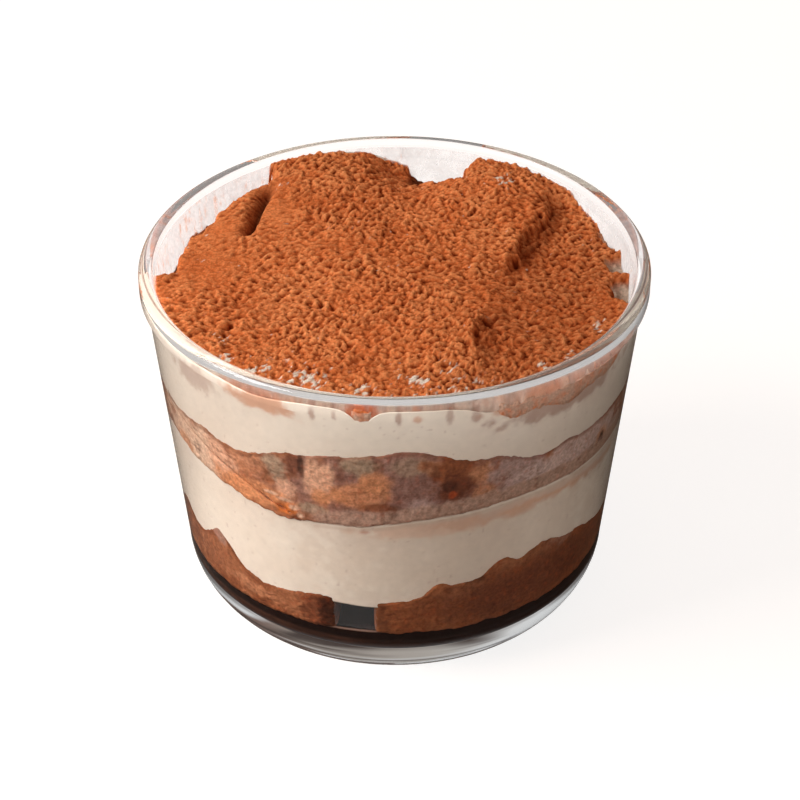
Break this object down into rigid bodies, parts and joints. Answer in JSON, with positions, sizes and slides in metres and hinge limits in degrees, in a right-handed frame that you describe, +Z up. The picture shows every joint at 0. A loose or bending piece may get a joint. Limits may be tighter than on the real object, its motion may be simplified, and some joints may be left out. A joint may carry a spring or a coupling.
{
  "type": "tiramisu in a glass",
  "caption": "Layered tiramisu of coffee, sponge fingers, cream and heaped cocoa in a short tapered clear glass tumbler.",
  "frame": {"origin": "on the glass's axis, at the level of the ring it rests on", "axes": "+Z up along the glass's axis; -Y is the front, where the hollow between the lower sponge fingers shows"},
  "size_m": [0.086, 0.086, 0.0647],
  "materials": {
    "glass": "clear, smooth",
    "coffee": "wet, dark",
    "sponge": "soaked crumb, rough",
    "cream": "smooth, soft sheen",
    "cocoa": "dry powder, matt"
  },
  "bodies": {
    "root": {"glass": "glass", "coffee": "coffee", "finger_low_left": "sponge", "finger_low_right": "sponge", "finger_low_side": "sponge", "cream_lower": "cream", "finger_mid_left": "sponge", "finger_mid_wedge": "sponge", "finger_mid_centre": "sponge", "finger_mid_right": "sponge", "cream_upper": "cream", "cocoa": "cocoa"}
  },
  "joints": []
}
